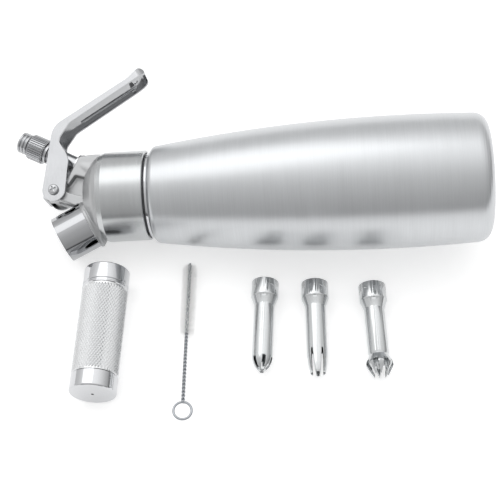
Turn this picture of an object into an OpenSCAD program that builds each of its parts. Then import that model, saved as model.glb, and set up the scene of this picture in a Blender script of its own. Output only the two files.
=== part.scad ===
// Whipped cream dispenser laid down with its loose fittings: charger holder, brush and three tips.
// Every dispenser piece is drawn upright, +Z along the bottle from its base, +X towards the lever,
// and laid() puts it on the table. Loose pieces are drawn along +Z from their open or upper end.

/* [Bottle] */
// Height of the bottle up to its shoulder
shoulder_z = 192; // [165:1:230]
// Greatest radius of the bottle
belly_r = 38; // [33:0.5:44]
// Height of the widest place
belly_z = 55; // [40:1:65]
// Radius of the long arc of the flank
flank_r = 930; // [800:10:1200]
// Radius of the corner at the base
base_round = 8; // [5:0.5:10]
// Radius of the corner at the shoulder
shoulder_round = 3.5; // [2:0.5:5]
// Thickness of the bottle's steel
bottle_wall = 1.2; // [0.8:0.1:2]
// Radius of the neck
neck_r = 22; // [20:0.5:23]
// Thickness of the neck
neck_wall = 2.5; // [1.5:0.1:3]
// Height of the neck above the shoulder
neck_h = 15.5; // [14:0.5:18]

/* [Head] */
// Outer radius of the collar
collar_r = 26.2; // [25.5:0.1:28]
// Thickness of the collar
collar_wall = 1.35; // [1:0.05:1.8]
// Height of the collar without its chamfer
collar_h = 23.8; // [22:0.2:26]
// Half of the thickness of the flat-sided casting
cheek = 7.5; // [7:0.1:8]
// Width of the slot in the casting that the finger swings in
finger_slot = 5.8; // [5.2:0.2:6.4]

/* [Nozzle] */
// Angle of the nozzle from the bottle's axis
nozzle_angle = 26.5; // [24:0.5:30]
// Outer radius of the sleeve
sleeve_r = 13.8; // [12.8:0.1:14.5]
// Thickness of the sleeve
sleeve_wall = 1.4; // [1:0.1:1.8]
// Length of the sleeve
sleeve_h = 18.4; // [17.4:0.2:22]
// Radius of the piston
piston_r = 4.3; // [4:0.1:4.8]
// Bore of the piston
piston_bore = 4; // [3:0.2:4.4]

/* [Injector] */
// Angle of the injector from the bottle's axis
injector_angle = 26.7; // [24:0.1:30]
// Radius of the knurled grip
grip_r = 7.6; // [7:0.1:8]
// Length of the knurled grip
grip_h = 10.4; // [9:0.2:13]
// Outer radius of the thread for the charger holder
thread_r = 6.4; // [6:0.1:7]
// Radius of the shank between the lever's plates
shank_r = 5; // [4.5:0.1:5.4]

/* [Lever] */
// Width of the lever
lever_w = 20; // [19.6:0.2:24]
// Thickness of the lever's walls
lever_wall = 1.6; // [1.2:0.1:2]
// Radius of the pivot screw
pivot_r = 1.9; // [1.5:0.1:2.2]
// Radius of the small hole near the lever's tip
tip_hole_r = 1.5; // [1:0.1:2]

/* [Charger holder] */
// Outer radius of the holder
holder_r = 13.2; // [12:0.1:15]
// Length of the holder
holder_h = 75.5; // [70:0.5:90]
// Bore for the charger
holder_bore = 18.8; // [18.4:0.2:20]

/* [Decorating tips] */
// Outer radius at the inlet
inlet_r = 7.9; // [7.6:0.1:9]
// Outer radius of the tube
tip_r = 5.9; // [4.8:0.1:6.4]
// Length of a tip
tip_h = 56; // [48:1:64]
// Thickness of a tip
tip_wall = 0.9; // [0.7:0.1:1.2]

/* [Brush] */
// Length of the brush without its ring
brush_h = 87.7; // [80:0.1:100]
// Radius of the bristles' tips
brush_r = 4.8; // [4:0.1:6]
// Number of bristles in a ring
brush_ring_count = 10; // [6:1:12]

/* [Hidden] */
$fn = 64;
eps = 0.01;
play = 0.05;
gap = 0.3;

// Heights along the bottle's axis
neck_top = shoulder_z + neck_h;
gasket_h = 1.5;
ceiling_z = neck_top + gasket_h;
collar_z = shoulder_z + 3;
collar_top = collar_z + collar_h;
chamfer = 3;
rim_z = collar_top + chamfer;
casting_r = collar_r - collar_wall - play;
fork_z = shoulder_z + 5;

// Distances along the nozzle's axis from where the axes meet
seat_s = 36.4;
mouth_s = seat_s + sleeve_h;
stub_s = seat_s + 1.8;
chamber_s = 13;
guide_s = 26;
head_s = 14.6;
head_h = 2;
collar_s = 42.5;
collar_ring_h = 1.6;
spigot_s = mouth_s - 6.1;
spigot_flange_h = 2;
spigot_bore_r = piston_r + gap;
spigot_r = spigot_bore_r + 1.8;
piston_end = spigot_s + 1.5;
ring_groove = 1.42;
ring_places = [29, 33];

// Distances along the injector's axis
boss_s = 44.8;
socket_s = 32;
grip_s = 66.7;
thread_s = grip_s + grip_h;
injector_end = thread_s + 6.9;
socket_r = 5.4;
charger_neck_r = 4.4;

// Lever, in the plane of symmetry
pivot = [3.3, fork_z + 52.3];
ear_r = 6.7;
screw_head_r = 3.1;
plate_in = lever_w / 2 - lever_wall;
handle_start = [47.5, fork_z + 45.9];
handle_angle = 58.1;
handle_dir = [cos(handle_angle), -sin(handle_angle)];
handle_h = 55.7;
handle_depth = 3.1;

// The lying dispenser touches the table with its flank and the edge of its collar, lever side up
arc_z = belly_z;
arc_r = belly_r - flank_r;
edge_far = norm([collar_top - arc_z, collar_r - arc_r]);
roll = 15;
// A collar that lies inside the flank's arc stays off the table, and the flank's upper end carries it
lean = edge_far > flank_r
    ? 90 - atan2(collar_r - arc_r, collar_top - arc_z) - acos(flank_r / edge_far)
    : asin((shoulder_z - arc_z) / flank_r);
axis_h = arc_z * sin(lean) + arc_r * cos(lean) + flank_r;
base_place = [134, 21];
set_shift = [1.64, 5.89];

holder_place = [-83.4, -21.7, -2.6];
brush_place = [-36.4, -10.9, -1.15];
tip_places = [[7.5, -25.8, -2.5], [35.8, -26.6, 0.5], [68.8, -28, 2.1]];

function flank(z) = arc_r + sqrt(pow(flank_r, 2) - pow(z - arc_z, 2));
function arc(centre, r, from, to, steps = 8) =
    [for (i = [0:steps]) let (a = from + (to - from) * i / steps) centre + r * [cos(a), sin(a)]];
function unit(v) = v / norm(v);
function out(v) = [sin(handle_angle), cos(handle_angle)] * v;

// Point in the plane of symmetry, s along the nozzle's axis and q from it towards the pivot
function by_nozzle(s, q) =
    [q * cos(nozzle_angle) - s * sin(nozzle_angle), fork_z + s * cos(nozzle_angle) + q * sin(nozzle_angle)];

// The same along the injector's axis, q towards the lever's handle
function by_injector(s, q) =
    [s * sin(injector_angle) + q * cos(injector_angle),
     fork_z + s * cos(injector_angle) - q * sin(injector_angle)];

// Corner b of a polygon, between its neighbours a and c, rounded with radius r
function round_corner(a, b, c, r, steps = 6) =
    r <= 0 ? [b] :
    let (
        u = unit(a - b),
        v = unit(c - b),
        half = acos(u * v) / 2,
        centre = b + unit(u + v) * r / sin(half),
        p = b + u * r / tan(half) - centre,
        q = b + v * r / tan(half) - centre,
        from = atan2(p[1], p[0]),
        turn = atan2(p[0] * q[1] - p[1] * q[0], p * q)
    )
    arc(centre, r, from, from + turn, steps);

// Polygon whose corners are [x, y, radius]
function rounded(corners) =
    let (n = len(corners), at = [for (c = corners) [c[0], c[1]]])
    [for (i = [0:n - 1], p = round_corner(at[(i + n - 1) % n], at[i], at[(i + 1) % n], corners[i][2])) p];

// Unbroken tube along a helix, its ends cut square
module helix(radius, wire, length, turns, sides = 6, steps = 16) {
    n = ceil(turns * steps);
    slope = length / (2 * PI * turns * radius);
    rings = [for (i = [0:n])
        let (a = 360 * turns * i / n, out = [cos(a), sin(a), 0],
            up = unit([sin(a) * slope, -cos(a) * slope, 1]))
        for (k = [0:sides - 1])
            radius * out + [0, 0, length * i / n]
                + wire * (cos(360 * k / sides) * out + sin(360 * k / sides) * up)];
    walls = [for (i = [0:n - 1], k = [0:sides - 1])
        let (a = i * sides + k, b = i * sides + (k + 1) % sides)
        for (f = [[a, a + sides, b], [b, a + sides, b + sides]]) f];
    polyhedron(rings, concat(walls, [for (k = [1:sides - 2]) [0, k, k + 1]],
        [for (k = [1:sides - 2]) [n * sides, n * sides + k + 1, n * sides + k]]));
}

module tube(outer, inner, height) {
    difference() {
        cylinder(r = outer, h = height);
        translate([0, 0, -1]) cylinder(r = inner, h = height + 2);
    }
}

// Flat piece whose outline lies in the plane of symmetry
module slab(outline, half) {
    rotate([90, 0, 0]) translate([0, 0, -half]) linear_extrude(2 * half) polygon(outline);
}

module across(r, half) {
    translate([pivot[0], 0, pivot[1]]) rotate([90, 0, 0]) cylinder(r = r, h = 2 * half, center = true);
}

module laid() {
    translate([base_place[0] + set_shift[0], base_place[1] + set_shift[1], axis_h])
        rotate([0, -lean, 0]) rotate([-90, 0, 90]) rotate([0, 0, -roll]) children();
}

module on_nozzle(s = 0) {
    laid() translate([0, 0, fork_z]) rotate([0, -nozzle_angle, 0]) translate([0, 0, s]) children();
}

module on_injector(s = 0) {
    laid() translate([0, 0, fork_z]) rotate([0, injector_angle, 0]) translate([0, 0, s]) children();
}

// A loose piece with its axis level, so high that its radius rests on the table
module on_table(place, radius, turn = 0) {
    translate([place[0] + set_shift[0], place[1] + set_shift[1], radius]) rotate([90, 0, turn]) children();
}

/* Bottle */

module bottle() {
    corner_r = flank(base_round);
    inside = shoulder_z - bottle_wall;
    foot = 24;
    steps = 20;
    outer = [for (i = [0:steps])
        let (z = base_round + (shoulder_z - shoulder_round - base_round) * i / steps) [flank(z), z]];
    inner = [for (i = [steps:-1:0])
        let (z = base_round + (inside - shoulder_round - base_round) * i / steps)
        [flank(z) - bottle_wall, z]];
    shoulder_c = flank(shoulder_z - shoulder_round) - shoulder_round;
    color("silver") laid() rotate_extrude() polygon(concat(
        [[0, 1.4], [foot - 1.4, 1.4], [foot, 0]],
        arc([corner_r - base_round, base_round], base_round, -90, -6),
        outer,
        arc([shoulder_c, shoulder_z - shoulder_round], shoulder_round, 6, 90),
        [[neck_r, shoulder_z], [neck_r, neck_top - 0.6], [neck_r - 0.6, neck_top],
         [neck_r - neck_wall, neck_top], [neck_r - neck_wall, inside]],
        inner,
        [[corner_r - base_round, bottle_wall + 1.4], [0, bottle_wall + 1.4]]));
}

module neck_ring() {
    ring_r = collar_r - 1.2;
    color("gainsboro") laid() translate([0, 0, shoulder_z]) rotate_extrude() polygon(concat(
        [[neck_r + play, 0], [ring_r - 1, 0]],
        arc([ring_r - 1, 1], 1, -90, 0),
        [[ring_r, collar_z - shoulder_z - 1.3]],
        [[ring_r - 1, collar_z - shoulder_z - gap], [neck_r + play, collar_z - shoulder_z - gap]]));
}

module head_gasket() {
    color("whitesmoke") laid() translate([0, 0, neck_top]) tube(neck_r, neck_r - 3.6, gasket_h);
}

/* Head */

module head_casting() {
    dome = concat(
        [[0, collar_z + 1], [casting_r, collar_z + 1], [casting_r, rim_z + 0.2]],
        arc([casting_r - 7, rim_z - 1.6], 7, 15, 50),
        [[14, rim_z + 9.5], [0, rim_z + 11]]);
    boss = rounded([
        [24.4, fork_z + 22, 0], [24.4, fork_z + 31, 3], concat(by_injector(boss_s, 3.9), 1.4),
        concat(by_injector(boss_s, -13.1), 1),
        [pivot[0] + 3, pivot[1] - 3.4, 0], [pivot[0], pivot[1] + 1, 0], [pivot[0] - 4.7, pivot[1], 0],
        [pivot[0] - 6.9, pivot[1] - 6.8, 2], [-6, fork_z + 40, 3], [-13, fork_z + 30, 0],
        [-8, fork_z + 22, 0]]);
    pocket = rounded([
        [12.5, fork_z + 40.4, 1.2], [9.8, fork_z + 32, 1.8], [-1.5, fork_z + 32.4, 2],
        [0.2, fork_z + 38.8, 2], [1.6, fork_z + 43.6, 0], [pivot[0] + 0.6, pivot[1] - 3.6, 0],
        [pivot[0] + 6.4, pivot[1] - 4.6, 0], [6.6, fork_z + 44.6, 0.7]]);
    finger_way = [
        pivot + [7.5, 14], pivot + [7.5, -4.8], pivot + [4, -5.9], by_nozzle(39.2, 21.5),
        by_nozzle(37.6, 15), by_nozzle(37.6, 1), by_nozzle(56.3, 2.5)];
    color("lightgray") difference() {
        union() {
            difference() {
                union() {
                    laid() rotate_extrude() polygon(dome);
                    on_nozzle(6) cylinder(r = sleeve_r + 0.1, h = seat_s - 6);
                    on_nozzle(seat_s - 1.8) cylinder(r = sleeve_r + 0.7, h = 1.8);
                    on_injector(22) cylinder(r1 = 9.5, r2 = 7.3, h = boss_s - 22);
                    laid() slab(boss, cheek);
                    laid() across(4.6, cheek);
                }
                for (side = [-1, 1])
                    laid() translate([0, side * (cheek + 3.4) / 2, 0]) slab(pocket, (cheek - 3.4) / 2 + eps);
                on_nozzle(seat_s) cylinder(r = sleeve_r + 0.6, h = 40);
            }
            on_nozzle(seat_s - 1) cylinder(r = sleeve_r - sleeve_wall - play, h = stub_s - seat_s + 1);
        }
        laid() slab(finger_way, finger_slot / 2);
        laid() translate([0, 0, collar_z - 20]) cylinder(r = neck_r + gap, h = ceiling_z - collar_z + 20);
        laid() translate([0, 0, collar_z - 20]) tube(60, casting_r, rim_z - collar_z + 20);
        laid() across(pivot_r + play, 20);
        on_nozzle(chamber_s) cylinder(r = 7, h = guide_s - chamber_s);
        on_nozzle(guide_s) cylinder(r = 8 + play, h = 20);
        on_injector(8) cylinder(r = 1.5, h = 40);
        on_injector(socket_s) cylinder(r = socket_r + play, h = 20);
    }
}

module head_collar() {
    color("darkgray") laid() rotate_extrude() polygon([
        [collar_r - collar_wall, collar_z], [collar_r - 0.4, collar_z], [collar_r, collar_z + 0.4],
        [collar_r, collar_top], [collar_r - collar_wall + 0.4, rim_z], [collar_r - collar_wall, rim_z]]);
}

module nozzle_sleeve() {
    color("silver") difference() {
        on_nozzle(seat_s) tube(sleeve_r, sleeve_r - sleeve_wall, sleeve_h);
        on_nozzle(seat_s + 2) translate([6, -3.3, 0]) cube([12, 6.6, 8.6]);
        for (side = [-1, 1])
            on_nozzle(seat_s + 4) rotate([0, 0, side * 42]) rotate([90, 0, 90]) translate([0, 0, 6])
                linear_extrude(12) polygon(concat(arc([0, 4], 1.6, 0, 180), arc([0, 0], 1.6, 180, 360)));
    }
}

module nozzle_spigot() {
    color("silver") difference() {
        union() {
            on_nozzle(spigot_s) cylinder(r = sleeve_r - sleeve_wall - play, h = spigot_flange_h);
            on_nozzle(spigot_s) cylinder(r = spigot_r, h = mouth_s - spigot_s - 0.4);
        }
        on_nozzle(spigot_s - 1) cylinder(r = spigot_bore_r, h = 20);
    }
}

module valve_guide() {
    color("khaki") on_nozzle(guide_s) tube(8, piston_r + play, stub_s - guide_s);
}

module valve_piston() {
    color("gainsboro") difference() {
        union() {
            on_nozzle(head_s) cylinder(r = 6.4, h = head_h);
            on_nozzle(head_s) cylinder(r = piston_r, h = piston_end - head_s);
        }
        on_nozzle(head_s - 1) cylinder(r = piston_bore / 2, h = piston_end);
        for (s = ring_places)
            on_nozzle(s - ring_groove / 2 - play)
                tube(piston_r + 1, piston_r - ring_groove, ring_groove + 2 * play);
    }
}

module piston_collar() {
    color("gold") on_nozzle(collar_s) tube(9.5, piston_r + 0.02, collar_ring_h);
}

module piston_rings() {
    r = ring_groove / 2;
    color("dimgray") for (s = ring_places)
        on_nozzle(s) rotate_extrude() translate([piston_r - r, 0]) circle(r = r - 0.02, $fn = 24);
}

module valve_spring() {
    length = guide_s - head_s - head_h - 0.9;
    color("lightslategray") on_nozzle(head_s + head_h + 0.45) helix(5.4, 0.4, length, 4.5);
}

/* Injector */

module injector_body() {
    color("silver") difference() {
        union() {
            on_injector(socket_s) cylinder(r = socket_r, h = boss_s - socket_s);
            on_injector(boss_s - 1) cylinder(r = shank_r, h = grip_s - boss_s + 2);
            on_injector(grip_s - 2) cylinder(r = shank_r + 1.2, h = 1.2);
            on_injector(grip_s) cylinder(r1 = grip_r - 0.5, r2 = grip_r, h = 0.5);
            on_injector(grip_s + 0.5) cylinder(r = grip_r, h = grip_h - 1);
            on_injector(thread_s - 0.5) cylinder(r1 = grip_r, r2 = grip_r - 0.5, h = 0.5);
            on_injector(thread_s) cylinder(r = thread_r, h = injector_end - thread_s - 0.6);
            on_injector(injector_end - 0.6) cylinder(r1 = thread_r, r2 = thread_r - 0.6, h = 0.6);
        }
        on_injector(0) cylinder(r = 1.2, h = 80);
        on_injector(socket_s - 1) cylinder(r = 3.2, h = 9);
        on_injector(grip_s + 2) cylinder(r = charger_neck_r, h = 30);
    }
}

module injector_washer() {
    color("gainsboro") on_injector(boss_s) tube(7, shank_r + play, 0.9);
}

module charger_seal() {
    color("dimgray") on_injector(grip_s + 3.6) tube(charger_neck_r - 0.02, 2.3, 1.6);
}

module piercing_pin() {
    color("silver") difference() {
        union() {
            on_injector(grip_s + 2) cylinder(r = charger_neck_r - 0.02, h = 1.5);
            on_injector(grip_s + 3.5) cylinder(r = 1.4, h = 5);
            on_injector(grip_s + 8.5) cylinder(r1 = 1.4, r2 = 0.1, h = 2.6);
        }
        on_injector(grip_s + 1) cylinder(r = 0.5, h = 8);
    }
}

module check_poppet() {
    color("khaki") on_injector(socket_s + 6) {
        cylinder(r = 2.3, h = 1.4);
        translate([0, 0, 1.4]) cylinder(r1 = 2.3, r2 = 1, h = 0.55);
    }
}

module check_spring() {
    color("lightslategray") on_injector(socket_s + 0.4) helix(2.2, 0.25, 5.3, 4);
}

/* Lever */

module lever() {
    shoulder = [42.6, fork_z + 53.7];
    tip_out = handle_start + handle_dir * 43;
    lip = [[77.3, fork_z + 2.6], [74.8, fork_z - 2.6]];
    back = concat(arc(pivot, ear_r, 270, 90, 16), rounded([
        [pivot[0], pivot[1] + ear_r, 0], [shoulder[0], shoulder[1], 12], [tip_out[0], tip_out[1], 12],
        [lip[0][0], lip[0][1], 2.6], [lip[1][0], lip[1][1], 2.2],
        concat(tip_out - out(handle_depth), 8), concat(handle_start - out(handle_depth + 0.8), 6),
        [34.2, fork_z + 50.6, 5], [22.5, fork_z + 43.9, 10], [pivot[0], pivot[1] - ear_r, 0]]));
    outline = [for (i = [0:len(back) - 1]) if (i == 0 || norm(back[i] - back[i - 1]) > 0.05) back[i]];
    hollow = rounded([
        [-20, fork_z + 70, 0], [38.4, fork_z + 70, 0], [38.4, fork_z + 52.9, 0],
        concat(shoulder - [1.3, 1.6], 4), concat(tip_out - out(lever_wall), 12),
        concat(lip[0] - [2.4, 0.7], 1.5), concat(lip[1] - [1.8, 0.5], 0), [68, fork_z - 24, 0],
        [18, fork_z + 14, 0], [-20, fork_z + 32, 0]]);
    finger = [
        pivot + [4.6, 5.6], pivot + [-4.2, 5.6], pivot + [-4.4, -1], pivot + [-6.2, -5.3],
        by_nozzle(42, 15), by_nozzle(42, 6), by_nozzle(39, 6), by_nozzle(39, 14.4),
        pivot + [-2.6, -6.9], pivot + [2.4, -3.6], pivot + [4.6, 0]];
    bridge_z = pivot[1] + ear_r;
    bridge = [pivot[0] - 4.4, pivot[0] + 7];
    color("silver") laid() difference() {
        union() {
            difference() {
                slab(outline, lever_w / 2);
                intersection() {
                    slab(hollow, plate_in);
                    rounded_end(handle_h - lever_wall, plate_in + 0.02, 7);
                }
            }
            slab([[bridge[0], bridge_z - 0.2], [bridge[0], bridge_z - 1.7],
                  [bridge[1], bridge_z - 1.7], [bridge[1], bridge_z - 0.5]], plate_in + eps);
            slab(finger, finger_slot / 2 - gap);
            across(4.4, finger_slot / 2 - gap);
        }
        across(pivot_r + play, 30);
        tip_corners();
        translate([handle_start[0] + handle_dir[0] * 46.5, 0, handle_start[1] + handle_dir[1] * 46.5])
            rotate([0, handle_angle - 4.5, 0]) cylinder(r = tip_hole_r, h = 20, center = true);
    }
}

// Long prism across the handle, in plan a strip with a rounded end
module rounded_end(reach, half, radius) {
    translate([handle_start[0], 0, handle_start[1]]) rotate([0, handle_angle, 0])
        translate([0, 0, -60]) linear_extrude(120) polygon(rounded([
            [-120, -half, 0], [reach, -half, radius], [reach, half, radius], [-120, half, 0]]));
}

// What the rounded tip leaves out of the full width
module tip_corners() {
    difference() {
        translate([handle_start[0], 0, handle_start[1]]) rotate([0, handle_angle, 0])
            translate([handle_h - 9, -30, -30]) cube([30, 60, 60]);
        rounded_end(handle_h, lever_w / 2 + 0.02, 8.6);
    }
}

module pivot_screw() {
    head_y = lever_w / 2 + play;
    color("gainsboro") laid() translate([pivot[0], 0, pivot[1]]) rotate([90, 0, 0]) {
        translate([0, 0, -lever_w / 2 - 2]) cylinder(r = pivot_r, h = lever_w + 2 + play);
        translate([0, 0, head_y]) rotate_extrude() polygon(concat(
            [[0, 0], [screw_head_r, 0], [screw_head_r, 0.7]],
            arc([screw_head_r - 1.2, 0.7], 1.2, 0, 75),
            [[0, 2]]));
    }
}

module pivot_nut() {
    color("gainsboro") laid() translate([pivot[0], lever_w / 2 + play, pivot[1]]) rotate([-90, 0, 0])
        difference() {
            cylinder(r = 3.6, h = 2.4, $fn = 6);
            translate([0, 0, -1]) cylinder(r = pivot_r + 0.02, h = 5);
        }
}

module pivot_washers() {
    thickness = plate_in - cheek - 0.1;
    color("whitesmoke") laid() for (side = [-1, 1])
        translate([pivot[0], side * (cheek + 0.05 + thickness / 2), pivot[1]]) rotate([90, 0, 0])
            translate([0, 0, -thickness / 2]) tube(4.4, pivot_r + play, thickness);
}

/* Charger holder */

module holder_body() {
    band = 12;
    groove = 0.5;
    cap_h = 9.5;
    color("silver") on_table(holder_place, holder_r, holder_place[2]) rotate_extrude() polygon(concat(
        [[thread_r + 0.35, 0], [holder_r - 0.8, 0]],
        arc([holder_r - 0.8, 0.8], 0.8, -90, 0, 4),
        [[holder_r, band - 2], [holder_r - groove, band - 1.6], [holder_r - groove, band - 0.8],
         [holder_r, band - 0.4], [holder_r, band], [holder_r - 0.25, band + 0.3],
         [holder_r - 0.25, holder_h - cap_h - 0.4], [holder_r - 2, holder_h - cap_h - 0.2],
         [holder_r - 2, holder_h - 4], [holder_bore / 2, holder_h - 4], [holder_bore / 2, 12],
         [thread_r + 0.35, 8]]));
}

module holder_cap() {
    cap_h = 9.5;
    color("gainsboro") on_table(holder_place, holder_r, holder_place[2]) difference() {
        translate([0, 0, holder_h - cap_h]) rotate_extrude() polygon(concat(
            [[holder_r - 2 + play, 0], [holder_r, 0], [holder_r, cap_h - 1.2]],
            arc([holder_r - 1.2, cap_h - 1.2], 1.2, 0, 90),
            [[0, cap_h], [0, cap_h - 2.6], [holder_r - 2 + play, cap_h - 2.6]]));
        translate([0, 0, holder_h - 5]) cylinder(r = 0.8, h = 10);
    }
}

/* Brush */

module brush_wire() {
    wire_r = 0.8;
    ring_r = 5;
    color("silver") on_table(brush_place, brush_r, brush_place[2]) {
        translate([0, 0, 2]) cylinder(r = wire_r, h = brush_h - 2);
        translate([0, 0, brush_h + ring_r - 0.3]) rotate([90, 0, 0]) rotate_extrude()
            translate([ring_r, 0]) circle(r = 0.7, $fn = 24);
    }
}

module brush_bristles() {
    rings = 32;
    first = 2.5;
    pitch = 1.38;
    thick = 0.11;
    color("white") on_table(brush_place, brush_r, brush_place[2]) resize([0, 0, 0]) {
        translate([0, 0, first - 0.5]) tube(1.15, 0.83, rings * pitch + 0.6, $fn = 18);
        for (i = [0:rings - 1], k = [0:brush_ring_count - 1])
            rotate([0, 0, 360 * k / brush_ring_count + 137.5 * i]) translate([0.95, 0, first + i * pitch])
                rotate([0, 90, 0]) cylinder(r1 = thick * 1.6, r2 = thick, h = brush_r - 1, $fn = 3);
    }
}

/* Decorating tips */

// Outline of half a tip's wall: wide inlet, cone and tube, then the given end
function tip_shell(end_outer, end_inner) = concat(
    [[inlet_r - tip_wall, 0], [inlet_r - 0.3, 0], [inlet_r, 0.3], [inlet_r, 9.6]],
    arc([inlet_r - 2, 9.6], 2, 0, 40, 4),
    [[tip_r + 0.4, 14.2], [tip_r, 15.6]], end_outer, end_inner,
    [[tip_r - tip_wall, 15.2], [inlet_r - tip_wall - 0.1, 10.2], [inlet_r - tip_wall, 9.6]]);

module tip_body(place, end_outer, end_inner) {
    on_table(place, inlet_r, place[2]) rotate_extrude() polygon(tip_shell(end_outer, end_inner));
}

// Lays a tip's cutter where the tip is, turned round its axis
module at_tip(place, angle) {
    on_table(place, inlet_r, place[2]) rotate([0, 0, angle]) children();
}

module tip_round() {
    nose = tip_h - 9;
    color("silver") difference() {
        tip_body(tip_places[0],
            [[tip_r, nose], [tip_r - 0.5, nose + 3], [tip_r - 1.6, nose + 5.6], [tip_r - 3.4, nose + 7.8],
             [1.2, tip_h]],
            [[1.2, tip_h - tip_wall * 1.2], [tip_r - 4, nose + 6.9], [tip_r - 2.3, nose + 5],
             [tip_r - 0.5 - tip_wall, nose + 2.6], [tip_r - tip_wall, nose]]);
        for (k = [0:5]) at_tip(tip_places[0], 60 * k + 20) rotate([90, 0, 0]) translate([0, 0, -1])
            linear_extrude(2) polygon([[2.2, nose + 1], [20, nose - 1], [20, tip_h + 3], [2.2, tip_h + 3]]);
    }
}

module tip_tulip() {
    slit = 14;
    color("silver") difference() {
        tip_body(tip_places[1],
            [[tip_r, tip_h - 11], [tip_r - 0.6, tip_h - 5], [tip_r - 1.5, tip_h]],
            [[tip_r - 1.5 - tip_wall * 0.8, tip_h], [tip_r - 0.6 - tip_wall, tip_h - 5],
             [tip_r - tip_wall, tip_h - 11]]);
        for (k = [0:5]) at_tip(tip_places[1], 60 * k + 4) rotate([0, 90, 0]) linear_extrude(20)
            polygon([[-tip_h - 3, -1.35], [-tip_h - 3, 1.35], [-tip_h + slit, 0.45], [-tip_h + slit, -0.45]]);
    }
}

module tip_star() {
    fingers = 8;
    flare = inlet_r - 0.05;
    throat = tip_h - 12.2;
    color("silver") difference() {
        tip_body(tip_places[2],
            [[tip_r, throat - 1.2], [tip_r - 0.35, throat], [tip_r, throat + 0.8], [flare - 0.4, tip_h - 7.8],
             [flare, tip_h - 6.4], [flare - 0.6, tip_h - 5], [4.2, tip_h]],
            [[4.2 - tip_wall, tip_h - 0.6], [flare - 1.7, tip_h - 5.6], [flare - 1.5, tip_h - 7],
             [tip_r - tip_wall, throat + 1.6], [tip_r - 0.35 - tip_wall, throat],
             [tip_r - tip_wall, throat - 1.2]]);
        for (k = [0:fingers - 1]) at_tip(tip_places[2], 360 * (k + 0.5) / fingers)
            rotate([90, 0, 0]) translate([0, 0, -1.5]) linear_extrude(3)
                polygon([[2.6, tip_h + 3], [20, tip_h + 3], [20, tip_h - 8.6], [2.6, tip_h - 8.6]]);
    }
}

bottle();
neck_ring();
head_gasket();
head_casting();
head_collar();
nozzle_sleeve();
nozzle_spigot();
valve_guide();
valve_piston();
piston_collar();
piston_rings();
valve_spring();
injector_body();
injector_washer();
charger_seal();
piercing_pin();
check_poppet();
check_spring();
lever();
pivot_screw();
pivot_nut();
pivot_washers();
holder_body();
holder_cap();
brush_wire();
brush_bristles();
tip_round();
tip_tulip();
tip_star();
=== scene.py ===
"""Whipped cream dispenser lying on a white table with the fittings that come off it.

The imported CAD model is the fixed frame. Its sound shapes keep their place and get a finish;
the pieces whose real surface is finer than the CAD, such as the knurls, the threads, the cast
head, the pressed lever and the brush, are modelled here and stand for their nodes.
"""
import logging
import math
from dataclasses import dataclass, field
from enum import Enum
from typing import Callable, Iterable, Sequence

import bpy
from mathutils import Matrix, Vector


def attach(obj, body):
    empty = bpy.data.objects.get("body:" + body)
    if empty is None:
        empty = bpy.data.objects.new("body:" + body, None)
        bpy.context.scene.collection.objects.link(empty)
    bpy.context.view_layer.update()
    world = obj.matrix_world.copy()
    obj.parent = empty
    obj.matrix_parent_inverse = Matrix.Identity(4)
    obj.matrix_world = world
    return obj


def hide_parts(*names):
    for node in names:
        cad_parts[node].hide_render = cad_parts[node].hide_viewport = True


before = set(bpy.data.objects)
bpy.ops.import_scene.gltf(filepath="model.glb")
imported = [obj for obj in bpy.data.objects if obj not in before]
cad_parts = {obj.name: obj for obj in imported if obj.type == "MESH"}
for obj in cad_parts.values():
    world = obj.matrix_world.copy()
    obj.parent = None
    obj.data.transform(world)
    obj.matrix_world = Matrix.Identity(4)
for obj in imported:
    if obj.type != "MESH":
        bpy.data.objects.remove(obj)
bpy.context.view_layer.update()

log = logging.getLogger("dispenser")

MM = 0.001
Point = tuple[float, float]
Pick = Callable[[Vector], bool]


class Axis(Enum):
    """The straight lines that the pieces are built on; +Z of each runs along the piece."""

    BOTTLE = "bottle"
    NOZZLE = "nozzle"
    INJECTOR = "injector"
    PIVOT = "pivot"
    HOLDER = "holder"
    BRUSH = "brush"
    TIP_ROUND = "tip_round"
    TIP_TULIP = "tip_tulip"
    TIP_STAR = "tip_star"


# How the dispenser lies: the lean and the roll of its axis, and the height of its middle over the table.
LEAN = math.radians(5.757)
ROLL = math.radians(15)
AXIS_HEIGHT = 48.017
# Where the axes of nozzle and injector leave the bottle's axis, and their angles to it.
FORK_Z = 197.0
NOZZLE_ANGLE = math.radians(-26.5)
INJECTOR_ANGLE = math.radians(26.7)
# The lever's hinge, and the start and the slope of its handle.
PIVOT = (3.3, 0.0, FORK_Z + 52.3)
HANDLE_START = (47.5, 0.0, FORK_Z + 45.9)
HANDLE_ANGLE = math.radians(58.1)
# Radii on which the loose pieces rest.
HOLDER_R, BRUSH_R, INLET_R = 13.2, 4.8, 7.9
# Shift that puts the middle of the whole set over the origin.
SET_X, SET_Y = 1.64, 5.89
TURNED = {
    "laid": Matrix.Translation((134.0 + SET_X, 21.0 + SET_Y, AXIS_HEIGHT)) @ Matrix.Rotation(-LEAN, 4, "Y")
    @ Matrix.Rotation(math.pi / 2, 4, "Z") @ Matrix.Rotation(-math.pi / 2, 4, "X")
    @ Matrix.Rotation(-ROLL, 4, "Z"),
    "fork": Matrix.Translation((0.0, 0.0, FORK_Z)),
}


def on_table(x: float, y: float, radius: float, turn: float = 0.0) -> Matrix:
    """Gives the axis of a loose piece that lies level on the table.

    Args:
        x: place of its open or upper end, in mm.
        y: the same along Y.
        radius: height of the axis, in mm.
        turn: turn seen from above, in degrees.

    Returns:
        The matrix from the piece's own mm to the row frame's mm.
    """
    return (Matrix.Translation((x + SET_X, y + SET_Y, radius)) @ Matrix.Rotation(math.radians(turn), 4, "Z")
            @ Matrix.Rotation(math.pi / 2, 4, "X"))


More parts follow.
